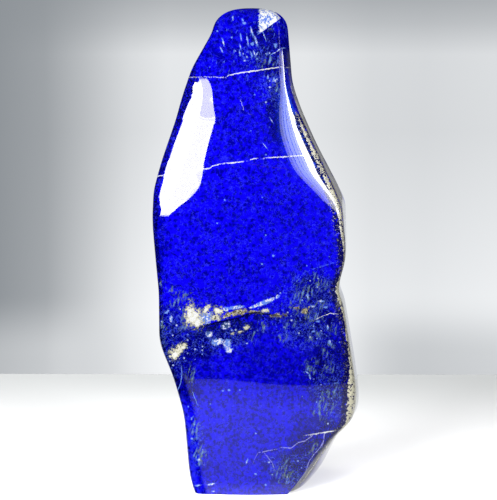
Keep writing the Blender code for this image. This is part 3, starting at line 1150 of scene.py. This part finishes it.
    def patches(self) -> dict[str, tuple[Spot, ...]]:
        """The broad patches, by the name of the attribute that holds the distance to them."""
        return {"cream": self.cream, "gold": self.gold, "pale": self.pale,
                "green": self.green, "dark": self.dark, "lace": self.lace}


class LapisFinish:
    """Polished lapis lazuli: ultramarine with navy clouds and pale threads, white veins, and a cream seam.

    Every mark is worked out in shader nodes from the point's place in the stone, or from a number kept at
    the mesh's points. Behind the front face the place slides sideways with depth, so that a vein comes out
    elsewhere on the back. Two noises fray the edges of all marks: one in lobes, and one in small notches.
    The slide is how far a mark goes right and up for each millimetre of depth beyond the skin. The tables
    that end in up give a strength at each height. A thread net is an offset into the noise and its swells to
    the millimetre.
    """

    slide: Span = (-0.45, 0.2)
    skin: float = 9.0
    polish: float = 0.035
    sliver_lean: float = 16.0
    sliver_stretch: Place = (1.0, 2.0, 3.5)
    gloom_range: Span = (0.0, 1.15)
    gloom_up: Table = (
        (0, 0.5), (22, 0.42), (34, 0.22), (44, 0.16), (53, 0.42), (60, 0.5), (84, 0.45), (100, 0.25),
        (112, 0.04), (158, 0.06), (172, 0.22), (200, 0.3), (215, 0.55), (240, 0.64),
    )
    # Painted sheen on the right bevel: its strength at each height.
    painted_sheen_up: Table = ((138, 0.0), (152, 0.5), (160, 0.9), (196, 1.0), (206, 0.5), (216, 0.0))
    slivers_up: Table = ((196, 0.0), (206, 0.5), (214, 1.0), (234, 0.8), (240, 0.4))
    matrix_shift: Table = ((0, 0.4), (80, 0.4), (140, -0.9), (150, -1.5), (200, -1.5), (240, 0.0))
    thread_nets: Table = ((0.0, 0.3), (71.0, 0.5))

    def __init__(self, marks: Marks, front_depth: Table) -> None:
        """Start the material, and work out the numbers that its marks share.

        Args:
            marks: Where the marks lie.
            front_depth: How far forward the front face is at each height.
        """
        self.marks = marks
        self.material = bpy.data.materials.new("lapis_polished")
        self.graph = NodeGraph(self.material)
        graph = self.graph
        coordinates = graph.node("ShaderNodeTexCoord").outputs["Object"]
        self.point = graph.vector("SCALE", {0: coordinates, "Scale": 1.0 / MM})
        self.x, self.y, self.z = graph.split(self.point)
        self.depth = (self.y - self.z.follow(front_depth) - self.skin).most(0.0)
        self.front = self.depth.ramp(12.0, 3.0)
        # The distance from the right corner starts anew on the left outline, so marks by it ask for this too.
        self.right = self.x.ramp(0.0, 4.0)
        self.wobble = graph.noise(self.point, 0.55, 3.0, 0.6)
        self.grit = graph.noise(self.point, 1.3, 2.0, 0.6)
        self.lobes = self.wobble - 0.5
        self.notches = self.grit - 0.5
        lean = (0.0, math.radians(self.sliver_lean), 0.0)
        leaning = graph.node("ShaderNodeMapping", {"vector_type": "TEXTURE"}, {
            "Vector": self.point, "Rotation": lean, "Scale": self.sliver_stretch})
        self.drawn = graph.noise(leaning.outputs[0], 0.9)
        jitter = self.lobes * 1.3
        self.across = self.x + self.depth * self.slide[0] + jitter * 0.6
        self.up = self.z + self.depth * self.slide[1] + jitter
        self.corner = self.read(CORNER)
        self.turn = self.read(TURN)
        self.drop = self.up - self.across.follow(marks.crack)
        self.open = self.across.follow(marks.crack_depth)
        self.lace = self.blots(self.read("lace"), 1.4, 0.8, 0.3)
        dark = self.blots(self.read("dark"), 1.2, 0.8, 0.3) * 0.8
        gloom = self.z.follow(self.gloom_up) + (graph.noise(self.point, 0.05) - 0.5) * 1.1 + dark
        gloom = gloom + self.depth.ramp(0.0, 6.0, 0.0, 0.3)
        self.gloom = gloom.most(self.gloom_range[0]).least(self.gloom_range[1])

    def read(self, attribute: str) -> Value:
        """A number kept at the mesh's points."""
        node = self.graph.node("ShaderNodeAttribute", {"attribute_name": attribute})
        return Value(self.graph, node.outputs["Fac"])

    def blots(self, distance: Value, ragged: float, fine: float, soft: float) -> Value:
        """The mask of some spots on the front, from the distance to them.

        Args:
            distance: How far off they are, where 1 is their edge.
            ragged: How far the edge wanders in lobes.
            fine: How far it wanders in small notches.
            soft: Half the width of the edge's fade.

        Returns:
            The mask.
        """
        distance = distance + self.lobes * ragged + self.notches * fine
        return distance.ramp(1.0 + soft, 1.0 - soft) * self.front

    def strokes(self, spots: tuple[Spot, ...]) -> Value:
        """How far off the nearest of some slender spots is, by the sum that nearness uses, in Math nodes.

        Args:
            spots: The spots.

        Returns:
            The distance, where 1 is the edge.
        """
        maths = self.graph.maths
        nearest = None
        for spot in spots:
            lengthwise, crosswise = (
                maths("MULTIPLY_ADD", self.x, run, maths("MULTIPLY_ADD", self.z, rise, start))
                for run, rise, start in spot.axes())
            squares = maths("MULTIPLY_ADD", crosswise, crosswise, lengthwise * lengthwise)
            nearest = squares if nearest is None else nearest.least(squares)
        return maths("SQRT", nearest)

    def ground(self) -> Socket:
        """Ultramarine that deepens in clouds, a web of navy, fine dark grains, and painted shade and sheen on
        the long edges.

        Returns:
            The colour.
        """
        graph = self.graph
        web = graph.noise(self.point, 0.5, 3.0, 0.55, 0.5)
        edge = 0.52 - 0.12 * self.gloom
        far, chance = graph.cells(self.point, 0.52)
        far = far + self.notches * 0.3
        size = chance.ramp(0.2, 0.7, 0.0, 0.75)
        night = self.gloom.ramp(0.75, 1.1) * self.grit.ramp(0.44, 0.56)
        low = self.z.ramp(142.0, 128.0) * self.z.ramp(42.0, 62.0)
        facet = self.z.ramp(214.0, 206.0) * 0.1
        # Painted shade: the left edge is darkened nearly to black where its surface turns away to the left,
        # wider low down and by the facet.
        painted_edge_shade = self.turn.ramp(0.53 - low * 0.33 - facet * (1.0 - low), 0.64 - low * 0.12 - facet)
        # Painted reflection: a lighter blue on the left edge's foot, below 42 to 54 mm where it turns left,
        # stands in for the pale table mirrored there.
        foot = self.turn.ramp(0.12, 0.32) * self.turn.ramp(0.9, 0.7) * self.z.ramp(54.0, 42.0)
        # Painted sheen: a lighter blue on the right bevel, in front of the corner, stands in for the veil
        # round the lamps' highlight.
        bevel = self.turn.ramp(-0.1, -0.24) * self.corner.ramp(-1.5, -3.0) * self.z.follow(self.painted_sheen_up)
        return graph.lay(
            graph.mix(Ink.BRIGHT.colour, Ink.DEEP.colour, self.gloom.ramp(0.15, 1.0)),
            (Ink.NAVY, web.ramp(edge, edge + 0.15, 0.0, 0.9)),
            (Ink.DUSK, far.ramp(size, size * 0.3, 0.0, 0.9)),
            (Ink.NAVY, far.ramp(size * 0.7, size * 0.2, 0.0, 0.6)),
            (Ink.NIGHT, night * 0.75),
            (Ink.NIGHT, painted_edge_shade * self.grit.ramp(0.62, 0.5) * 0.92),
            (Ink.THREAD, foot * self.wobble.ramp(0.4, 0.55) * 0.6),
            (Ink.PAINTED_SHEEN, bevel * self.wobble.ramp(0.2, 0.46) * 0.85),
        )

    def threads(self, colour: Socket) -> Socket:
        """Short, thin, curled lighter lines: where a noise passes through its middle, broken up by another.

        Args:
            colour: The colour so far.

        Returns:
            The colour with them.
        """
        graph = self.graph
        for offset, per_mm in self.thread_nets:
            shifted = graph.vector("ADD", {0: self.point, 1: (offset, 2.0 * offset, -offset)})
            swell = graph.noise(shifted, per_mm, 2.0, 0.5, 1.1)
            broken = graph.noise(shifted, 0.3, 1.0).ramp(0.44 - self.lace * 0.06, 0.56 - self.lace * 0.06)
            line = abs(swell - 0.5).ramp(0.024, 0.006) * broken
            colour = graph.lay(colour, (Ink.THREAD, line * (1.0 - 0.4 * self.gloom) * 0.7),
                               (Ink.PALE_BLUE, line * self.lace * 0.2))
        return colour

    def crumbs(self, colour: Socket) -> Socket:
        """Rare pale grains all over, and many between the pale patches.

        Args:
            colour: The colour so far.

        Returns:
            The colour with them.
        """
        distance, chance = self.graph.cells(self.point, 0.55)
        size = chance.ramp(0.97 - self.lace * 0.42, 1.0, 0.0, 0.34)
        grain = (distance + self.notches * 0.3).ramp(size, size * 0.5)
        return self.graph.lay(colour, (Ink.PALE_BLUE, grain * 0.8),
                              (Ink.WHITE, grain * chance.ramp(0.8, 0.97) * self.lace * 0.4))

    def slivers(self, colour: Socket) -> Socket:
        """Pale slivers under the crown, drawn out along a steep lean."""
        zone = self.z.follow(self.slivers_up) * self.x.ramp(-27.0, -16.0) * self.z.ramp(194.0, 200.0)
        return self.graph.lay(colour, (Ink.PALE_BLUE, self.drawn.ramp(0.63, 0.72) * zone * 0.55))

    def clouds(self, colour: Socket) -> Socket:
        """The grey-green clouds and the pale blue patches.

        Args:
            colour: The colour so far.

        Returns:
            The colour with them.
        """
        green = self.blots(self.read("green"), 2.6, 2.0, 0.5)
        streaked = green * self.drawn.ramp(0.5, 0.58)
        pale = self.blots(self.read("pale"), 1.6, 1.4, 0.25)
        return self.graph.lay(
            colour,
            (Ink.GREY_GREEN, streaked * self.grit.ramp(0.42, 0.5) * 0.75),
            (Ink.OLIVE, streaked * self.wobble.ramp(0.5, 0.58) * 0.7),
            (Ink.PALE_BLUE, green * self.drawn.ramp(0.6, 0.68) * 0.6),
            (Ink.PALE_BLUE, pale * 0.75),
            (Ink.WHITE, pale * self.wobble.ramp(0.48, 0.56) * 0.9),
        )

    def seam(self, colour: Socket) -> tuple[Socket, Value]:
        """The shade below the crack, the cream patches with an olive border, and the golden ones.

        Args:
            colour: The colour so far.

        Returns:
            The colour with them, and the mask of the patches.
        """
        far = self.read("cream")
        cream = self.blots(far + 0.15, 2.6, 1.8, 0.3)
        gold = self.blots(self.read("gold"), 3.4, 3.4, 0.3)
        shade = self.drop.ramp(0.6, -0.8) * self.drop.ramp(-8.0, -2.0) * self.open
        colour = self.graph.lay(
            colour,
            (Ink.NIGHT, shade * self.wobble.ramp(0.56, 0.44) * 0.8),
            (Ink.OLIVE, self.blots(far - 0.15, 3.0, 3.0, 0.35) * 0.85),
            (Ink.CREAM, cream),
            (Ink.WHITE, self.blots(far + 0.55, 2.6, 1.0, 0.3) * 0.9),
            (Ink.GOLD, gold * 0.95),
            (Ink.CREAM, gold * self.grit.ramp(0.52, 0.58)),
            (Ink.NIGHT, gold * self.grit.ramp(0.46, 0.42) * 0.8),
        )
        return colour, cream.most(gold)

    def line(self, vein: Vein) -> Value:
        """One vein: the distance from its line, over a half width that swells and shrinks.

        Args:
            vein: The vein.

        Returns:
            Its mask.
        """
        along_it, beside_it = (self.up, self.across) if vein.upright else (self.across, self.up)
        off = beside_it - along_it.follow(vein.line) + self.notches * 0.5
        width = vein.half_width * (0.1 + self.wobble)
        strong = along_it.follow(vein.fade)
        mask = abs(off).ramp(width * 1.35, width * 0.45)
        mask = mask * strong * self.grit.ramp(0.6 - strong * 0.3, 0.68 - strong * 0.3)
        if not vein.through:
            mask = mask * self.front * self.graph.maths("GREATER_THAN", along_it, vein.line[0][0])
            mask = mask * self.graph.maths("LESS_THAN", along_it, vein.line[-1][0])
        return mask

    def lines(self, colour: Socket) -> Socket:
        """The flecks, the veins and the open crack.

        Args:
            colour: The colour so far.

        Returns:
            The colour with them.
        """
        flecks = self.blots(self.strokes(self.marks.flecks) + 0.25, 1.6, 1.6, 0.35)
        slit = abs(self.drop + 0.1).ramp(0.75, 0.3) * self.open * self.front * self.grit.ramp(0.36, 0.46)
        return self.graph.lay(
            colour,
            (Ink.PALE_BLUE, flecks * 0.85),
            (Ink.WHITE, flecks * self.wobble.ramp(0.5, 0.6) * 0.7),
            *((vein.ink, self.line(vein)) for vein in self.marks.veins),
            (Ink.NIGHT, slit * 0.95),
        )

    def chip(self) -> Value:
        """The white chip at the top right: right of a ragged line, and above and within two straight ones.

        Returns:
            Its mask.
        """
        marks = self.marks
        foot_x, foot_z = marks.chip_foot
        tip_x, tip_z = marks.chip_tip
        top_x, top_z = marks.chip_shoulder
        rise = (tip_z - foot_z) / (tip_x - foot_x)
        fall = (tip_z - top_z) / (tip_x - top_x)
        ragged = self.notches * 4.0 + self.lobes * 3.0
        inside = (self.x + ragged).ramp(marks.chip_left - 0.1, marks.chip_left + 0.3)
        above = (self.z - foot_z - (self.x - foot_x) * rise + self.notches * 0.8).ramp(-0.15, 0.15)
        within = (self.z - top_z - (self.x - top_x) * fall).ramp(0.2, -0.2)
        return inside * above * within * (self.depth + self.lobes * 12.0).ramp(4.0, 3.0)

    def side_rock(self, colour: Socket) -> Socket:
        """The pale rock of the flat right side, frayed above and behind, with cream and olive clouds, and
        painted light.

        Args:
            colour: The colour so far.

        Returns:
            The colour with it.
        """
        graph = self.graph
        broad = graph.noise(self.point, 0.12, 3.0)
        ragged = self.z + (broad - 0.5) * 30.0 + self.lobes * 14.0
        side = self.corner.ramp(0.5, 1.6) * (self.corner + self.lobes * 16.0).ramp(26.0, 17.0)
        side = side * ragged.ramp(204.0, 197.0) * self.z.ramp(27.0, 34.0)
        side = side * (1.0 - self.depth.ramp(3.0, 9.0) * broad.ramp(0.56, 0.64))
        # Painted light: the rock pales to chalk from 100 to 130 mm up, making up for the lamps lighting that
        # side less than the front.
        tone = graph.mix(Ink.ROCK.colour, Ink.PAINTED_LIGHT_CHALK.colour, self.z.ramp(100.0, 130.0))
        tone = graph.lay(tone, (Ink.CREAM, broad.ramp(0.48, 0.6) * 0.6),
                         (Ink.OLIVE, self.grit.ramp(0.56, 0.66) * 0.35))
        return graph.mix(colour, tone, side * self.right * 0.95)

    def matrix(self, colour: Socket) -> tuple[Socket, Value]:
        """The rough cream rock along the right corner, with a dark margin in front and a golden one behind.

        Args:
            colour: The colour so far.

        Returns:
            The colour with it, and the mask of the rock.
        """
        width = self.z.follow(self.marks.matrix_width)
        off = self.corner - self.z.follow(self.matrix_shift) + self.lobes * 3.4 + self.notches * 1.6
        present = width.ramp(0.02, 0.3) * self.right
        margin = off.ramp(-4.2 - width, -2.2 - width) * self.corner.ramp(1.2, 0.6) * present
        gold = abs(self.corner - 0.7 - width).ramp(0.6, 0.3) * present
        holes = (self.grit * 0.5 + self.wobble * 0.5).ramp(0.45, 0.48)
        rock = abs(off).ramp(width + 0.25, width - 0.25) * present * holes
        colour = self.graph.lay(
            colour,
            (Ink.MIDNIGHT, margin * self.wobble.ramp(0.64, 0.54) * 0.9),
            (Ink.CREAM, margin * self.grit.ramp(0.6, 0.64) * self.z.ramp(128.0, 140.0, 0.25, 0.9)),
            (Ink.OLIVE, gold * 0.9),
            (Ink.GOLD, gold * self.wobble.ramp(0.44, 0.52)),
            (Ink.CREAM, rock),
        )
        return colour, rock

    def worn(self) -> Value:
        """Where long edges are less polished: the left one above and below its facet, and the crown's right.

        Returns:
            The mask.
        """
        left = self.turn.ramp(0.05, 0.12) * self.turn.ramp(0.9, 0.8)
        left = left * (self.z.ramp(205.0, 206.5) + self.z.ramp(140.5, 139.0))
        right = self.turn.ramp(-0.06, -0.18) * self.z.ramp(216.0, 221.0)
        return (left + right).least(1.0)

    def finish(self) -> bpy.types.Material:
        """Build the whole material, from the ground up.

        Returns:
            The material.
        """
        graph = self.graph
        colour = self.clouds(self.slivers(self.crumbs(self.threads(self.ground()))))
        colour, seam = self.seam(colour)
        colour = self.lines(colour)
        chip = self.chip()
        colour = graph.lay(colour, (Ink.PALE_BLUE, chip * 0.7),
                           (Ink.WHITE, chip * (self.wobble * 0.6 + self.grit * 0.4).ramp(0.54, 0.5)))
        colour, rock = self.matrix(self.side_rock(colour))

        rough = self.polish + rock * 0.3 + chip * 0.12 + seam * 0.1
        bump = self.notches * (rock + chip * 0.25 + seam * 0.3)
        relief = graph.node("ShaderNodeBump", None, {"Strength": 0.6, "Distance": 0.0005, "Height": bump})
        polished = graph.node("ShaderNodeBsdfPrincipled", None, {
            "Base Color": colour, "Roughness": rough, "IOR": 1.5, "Normal": relief.outputs[0]})
        matt = graph.node("ShaderNodeBsdfPrincipled", None, {
            "Base Color": colour, "Roughness": 0.7, "Specular IOR Level": 0.0})
        both = graph.node("ShaderNodeMixShader", None, {
            0: self.worn(), 1: polished.outputs[0], 2: matt.outputs[0]})
        graph.node("ShaderNodeOutputMaterial", None, {"Surface": both.outputs[0]})
        return self.material


def main() -> None:
    """Build the stage and the stone."""
    logging.basicConfig(level=logging.INFO, format="%(message)s")
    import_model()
    Studio().build()
    low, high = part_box("stone")
    form = StoneForm()
    marks = Marks()
    stone = StoneSurface(form).build("polished_stone", low, high, Relief(marks))
    stone.data.materials.append(LapisFinish(marks, form.front_depth).finish())
    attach(stone, "root")
    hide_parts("stone")
    LOG.info("polished_stone: %d faces", len(stone.data.polygons))


if __name__ == "__main__":
    main()
